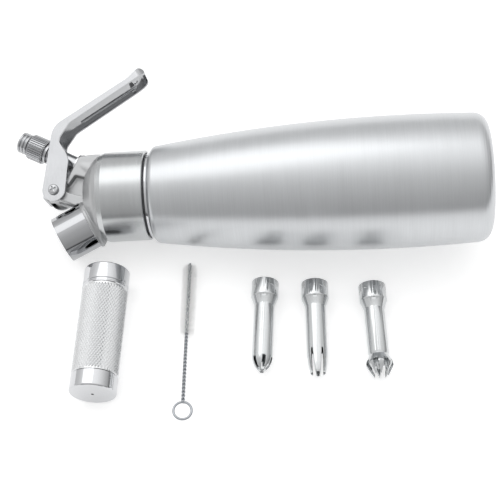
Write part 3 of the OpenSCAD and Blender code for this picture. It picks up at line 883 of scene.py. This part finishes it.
def scatter(count: int) -> float:
    """Gives a number from 0 to 1 that looks random, the same for the same count each time."""
    wobble = math.sin(count * 12.9898) * 43758.5453
    return wobble - math.floor(wobble)


def wire_along(name: str, points: Sequence[tuple[float, float, float]], radius: float,
               sides: int) -> bpy.types.Object:
    """Draws a wire along points as a curve, then makes it a mesh.

    Args:
        name: the piece's name.
        points: the middle line in mm.
        radius: the wire's radius in mm.
        sides: how round the wire is.

    Returns:
        The wire in mm.
    """
    curve = bpy.data.curves.new(name, "CURVE")
    curve.dimensions = "3D"
    curve.bevel_depth = radius
    curve.bevel_resolution = max(1, sides // 2 - 1)
    curve.use_fill_caps = True
    spline = curve.splines.new("POLY")
    spline.points.add(len(points) - 1)
    for place, point in zip(spline.points, points):
        place.co = (*point, 1.0)
    piece = bpy.data.objects.new(name, curve)
    bpy.context.scene.collection.objects.link(piece)
    only(piece)
    bpy.ops.object.convert(target="MESH")
    return bpy.context.object


@dataclass
class Head:
    """The cast head: a copy of the CAD casting whose corners are melted round, as in a die."""

    voxel: float = 0.46
    rounds: int = 7

    def build(self) -> None:
        """Models the casting with soft fillets."""
        casting = copy_node("head_cast_body", "head_casting")
        apply_modifier(casting, "REMESH", mode="VOXEL", voxel_size=self.voxel * MM, adaptivity=0.0)
        apply_modifier(casting, "CORRECTIVE_SMOOTH", iterations=self.rounds, smooth_type="SIMPLE", factor=0.5)
        only(casting)
        bpy.ops.object.shade_smooth()
        dress(casting, CAST_ALLOY, Axis.BOTTLE)
        stand_for(casting, "head", "cast", "head_casting")


@dataclass
class Lever:
    """The lever: pressed from sheet, its edges rounded by the tumbling that polished it."""

    edge: float = 0.45
    wall: float = 1.6
    groove: tuple[float, float, float] = (40.0, 4.6, 0.9)
    groove_place: tuple[float, float] = (26.0, 3.6)

    def build(self) -> None:
        """Models the lever from its CAD shape with rounded edges and the stiffening groove in its handle."""
        lever = copy_node("lever_pressed_channel", "lever")
        apply_modifier(lever, "BEVEL", width=self.edge * MM, segments=3, limit_method="ANGLE",
                       angle_limit=math.radians(32), use_clamp_overlap=True, miter_outer="MITER_ARC")
        only(lever)
        bpy.ops.object.shade_smooth()
        along, across = self.groove_place
        floor = (TURNED["laid"] @ Matrix.Translation(HANDLE_START) @ Matrix.Rotation(HANDLE_ANGLE, 4, "Y")
                 @ Matrix.Translation((along, across, -self.wall)))
        length, width, depth = self.groove
        carve(lever, [block((length, width, 2 * depth), floor, 0.7)])
        apply_modifier(lever, "WEIGHTED_NORMAL", mode="FACE_AREA", weight=100, keep_sharp=False)
        dress(lever, SATIN_PRESSED, Axis.PIVOT)
        stand_for(lever, "lever", "polished", "lever")


@dataclass
class PivotScrew:
    """The lever's pan-head screw with its cross recess."""

    top: float = 12.05
    slot_length: float = 3.7
    slot_width: float = 0.85
    depth: float = 1.1
    turn: float = 25.0

    def build(self) -> None:
        """Models the screw from its CAD shape and carves the cross."""
        screw = copy_node("pivot_screw_cross_head", "pivot_screw")
        place = axis_frame(Axis.PIVOT) @ Matrix.Translation((0.0, 0.0, self.top))
        carve(screw, [block((self.slot_length, self.slot_width, 2 * self.depth),
                            place @ Matrix.Rotation(math.radians(self.turn + quarter), 4, "Z"), 0.12)
                      for quarter in (0, 90)])
        only(screw)
        bpy.ops.object.shade_smooth_by_angle(angle=math.radians(30))
        dress(screw, BAR_STEEL, Axis.PIVOT)
        stand_for(screw, "head", "polished", "pivot_screw")


@dataclass
class DecoratingTips:
    """The three tips: drawn tube with slots, pressed lugs that catch the spigot's thread, soft edges."""

    inlet: float = INLET_R
    edge: float = 0.14
    lug_s: float = 4.2
    dimple_s: float = 11.9
    turns: dict[Axis, float] = field(default_factory=lambda: {
        Axis.TIP_ROUND: 28.0, Axis.TIP_TULIP: 24.0, Axis.TIP_STAR: -33.0})

    def build(self) -> None:
        """Models each tip from its CAD shape."""
        for axis, turn in self.turns.items():
            tip = copy_node(f"{axis.value}_drawn_tube", axis.value)
            apply_modifier(tip, "BEVEL", width=self.edge * MM, segments=2, limit_method="ANGLE",
                           angle_limit=math.radians(45), use_clamp_overlap=True)
            place = axis_frame(axis)
            lugs = [self.at(place, turn + 120 * k, self.lug_s, 0.0) for k in range(3)]
            dimples = [self.at(place, 120 * k - 4, self.dimple_s, 0.15) for k in range(3)]
            carve(tip, [block((3.2, 0.9, 1.0), spot @ Matrix.Rotation(math.radians(-24), 4, "Z"), 0.3)
                        for spot in lugs] + [block((2.3, 2.6, 1.1), spot, 0.4) for spot in dimples])
            only(tip)
            bpy.ops.object.shade_smooth_by_angle(angle=math.radians(32))
            dress(tip, TIP_STEEL, axis)
            stand_for(tip, axis.value.replace("tip_", "") + "_tip", "polished", axis.value)

    def at(self, place: Matrix, turn: float, along: float, sunk: float) -> Matrix:
        """Gives a spot on a tip's outside, its Z outwards and its Y along the tip.

        Args:
            place: the tip's axis.
            turn: degrees round the tip from its top side.
            along: distance from the inlet, in mm.
            sunk: how far under the inlet's radius it lies, in mm.

        Returns:
            The matrix from the spot's mm to the row frame's mm.
        """
        return (place @ Matrix.Rotation(math.radians(90 - turn), 4, "Z")
                @ Matrix.Translation((self.inlet - sunk, 0.0, along)) @ Matrix.Rotation(math.pi / 2, 4, "Y")
                @ Matrix.Rotation(math.pi / 2, 4, "Z"))


# ---------------------------------------------------------------- set


@dataclass
class Studio:
    """White table, soft lamps and the camera at the photograph's angle."""

    look: tuple[float, float, float] = (SET_X * MM - 0.0014, SET_Y * MM - 0.0109, 0.020)
    place: tuple[float, float, float] = (SET_X * MM - 0.0014, SET_Y * MM - 0.3339, 0.584)
    lens: float = 81.4
    room_level: float = 1.45
    table_glow: float = 0.46

    def camera(self) -> None:
        """Adds the camera."""
        data = bpy.data.cameras.new("camera")
        data.lens = self.lens
        data.clip_start = 0.05
        camera = bpy.data.objects.new("camera", data)
        bpy.context.scene.collection.objects.link(camera)
        camera.location = self.place
        towards = Vector(self.look) - Vector(self.place)
        camera.rotation_euler = towards.to_track_quat("-Z", "Y").to_euler()
        bpy.context.scene.camera = camera

    def seen(self, tree: bpy.types.NodeTree) -> bpy.types.NodeSocket:
        """Gives 1 for rays that come straight or by gloss from the camera, 0 for the rest."""
        path = add_node(tree, "ShaderNodeLightPath").outputs
        direct = add_node(tree, "ShaderNodeMath", {"operation": "ADD", "use_clamp": True}, {
            0: path["Is Camera Ray"], 1: path["Is Glossy Ray"]}).outputs["Value"]
        return add_node(tree, "ShaderNodeMath", {"operation": "ADD", "use_clamp": True}, {
            0: direct, 1: path["Is Transmission Ray"]}).outputs["Value"]

    def table(self) -> None:
        """Adds the white table, which keeps the shadows."""
        bpy.ops.object.select_all(action="DESELECT")
        bpy.ops.mesh.primitive_plane_add(size=8.0, location=(0.0, 0.0, 0.0))
        top = bpy.context.object
        top.name = "table_top"
        made = bpy.data.materials.new("white_laminate")
        made.use_nodes = True
        tree = made.node_tree
        tree.nodes.clear()
        matt = add_node(tree, "ShaderNodeBsdfDiffuse", inputs={"Color": srgb("e9e9e9")})
        glow = add_node(tree, "ShaderNodeEmission", inputs={
            "Color": srgb("ffffff"), "Strength": add_node(tree, "ShaderNodeMath", {"operation": "MULTIPLY"}, {
                0: self.seen(tree), 1: self.table_glow}).outputs["Value"]})
        both = add_node(tree, "ShaderNodeAddShader", inputs={0: matt.outputs[0], 1: glow.outputs[0]})
        add_node(tree, "ShaderNodeOutputMaterial", inputs={"Surface": both.outputs[0]})
        top.data.materials.append(made)

    def world(self) -> None:
        """Adds the room: white to the camera, and in the metal a broad soft box over a darker front.

        The soft box runs from side to side, high and a little behind the set. Towards the front and
        the right the room falls to a dark strip above the table, which draws the polished edges.
        """
        world = bpy.data.worlds.new("room")
        bpy.context.scene.world = world
        world.use_nodes = True
        tree = world.node_tree
        tree.nodes.clear()
        way = add_node(tree, "ShaderNodeTexCoord").outputs["Generated"]
        parts = add_node(tree, "ShaderNodeSeparateXYZ", inputs={"Vector": way}).outputs
        front = add_node(tree, "ShaderNodeMath", {"operation": "MULTIPLY"}, {0: parts["Y"], 1: -1.0})
        turn = add_node(tree, "ShaderNodeMath", {"operation": "ARCTAN2"}, {
            0: parts["Z"], 1: front.outputs["Value"]}).outputs["Value"]
        share = add_node(tree, "ShaderNodeMath", {"operation": "DIVIDE", "use_clamp": True}, {
            0: turn, 1: math.pi}).outputs["Value"]
        over = ramp(tree, share, (
            (0.00, "a1a1a1"), (0.13, "a4a4a4"), (0.25, "b7b7b7"), (0.35, "c3c3c3"), (0.43, "d8d8d8"),
            (0.52, "f0f0f0"), (0.60, "fdfdfd"), (0.68, "fbfbfb"), (0.76, "e6e6e6"), (0.84, "c9c9c9"),
            (1.00, "bababa")))
        sides = ramp(tree, add_node(tree, "ShaderNodeMapRange", inputs={
            "Value": parts["X"], "From Min": -1.0}).outputs["Result"], (
            (0.0, "c4c4c4"), (1.0, "9c9c9c")))
        reach = add_node(tree, "ShaderNodeMath", {"operation": "POWER"}, {0: add_node(
            tree, "ShaderNodeMath", {"operation": "ABSOLUTE"}, {0: parts["X"]}).outputs["Value"], 1: 2.0})
        room = add_node(tree, "ShaderNodeMix", {"data_type": "RGBA"}, {
            "Factor": reach.outputs["Value"], "A": over, "B": sides}).outputs["Result"]
        aside = add_node(tree, "ShaderNodeMath", {"operation": "SUBTRACT"}, {0: parts["X"], 1: parts["Y"]})
        dark_side = add_node(tree, "ShaderNodeMapRange", inputs={
            "Value": aside.outputs["Value"], "From Min": 0.0, "From Max": 0.9}).outputs["Result"]
        low = add_node(tree, "ShaderNodeMapRange", {"interpolation_type": "SMOOTHSTEP"}, {
            "Value": parts["Z"], "From Min": 0.05, "From Max": 0.24, "To Min": 0.9,
            "To Max": 0.0}).outputs["Result"]
        strip = add_node(tree, "ShaderNodeMath", {"operation": "MULTIPLY"}, {0: dark_side, 1: low})
        shaded = add_node(tree, "ShaderNodeMix", {"data_type": "RGBA"}, {
            "Factor": strip.outputs["Value"], "A": room, "B": srgb("303134")}).outputs["Result"]
        lit = add_node(tree, "ShaderNodeBackground", inputs={"Color": shaded, "Strength": self.room_level})
        white = add_node(tree, "ShaderNodeBackground", inputs={"Color": srgb("ffffff"), "Strength": 1.0})
        camera = add_node(tree, "ShaderNodeLightPath").outputs["Is Camera Ray"]
        both = add_node(tree, "ShaderNodeMixShader", inputs={
            0: camera, 1: lit.outputs[0], 2: white.outputs[0]})
        add_node(tree, "ShaderNodeOutputWorld", inputs={"Surface": both.outputs[0]})

    def lamp(self, name: str, place: tuple[float, float, float], size: tuple[float, float],
             watts: float) -> None:
        """Adds a soft box that looks at the set.

        Args:
            name: the lamp's name.
            place: where it hangs, in metres.
            size: its two sides, in metres.
            watts: its power.
        """
        data = bpy.data.lights.new(name, "AREA")
        data.shape = "RECTANGLE"
        data.size, data.size_y = size
        data.energy = watts
        lamp = bpy.data.objects.new(name, data)
        bpy.context.scene.collection.objects.link(lamp)
        lamp.location = place
        lamp.rotation_euler = (Vector((0.0, 0.0, 0.02)) - Vector(place)).to_track_quat("-Z", "Y").to_euler()

    def build(self) -> None:
        """Sets up camera, table, room and lamps, and the plain view transform."""
        self.camera()
        self.table()
        self.world()
        self.lamp("key_box", (-0.45, 0.55, 1.1), (1.1, 0.8), 2.0)
        bpy.context.scene.view_settings.view_transform = "Standard"


def main() -> None:
    """Builds the set piece by piece."""
    logging.basicConfig(level=logging.INFO, format="%(name)s: %(message)s")
    Studio().build()
    for assembly in (KeptNodes(), Head(), Lever(), PivotScrew(), Injector(), ChargerHolder(), CleaningBrush(),
                     DecoratingTips()):
        assembly.build()
        log.info("%s done", type(assembly).__name__)


if __name__ == "__main__":
    main()
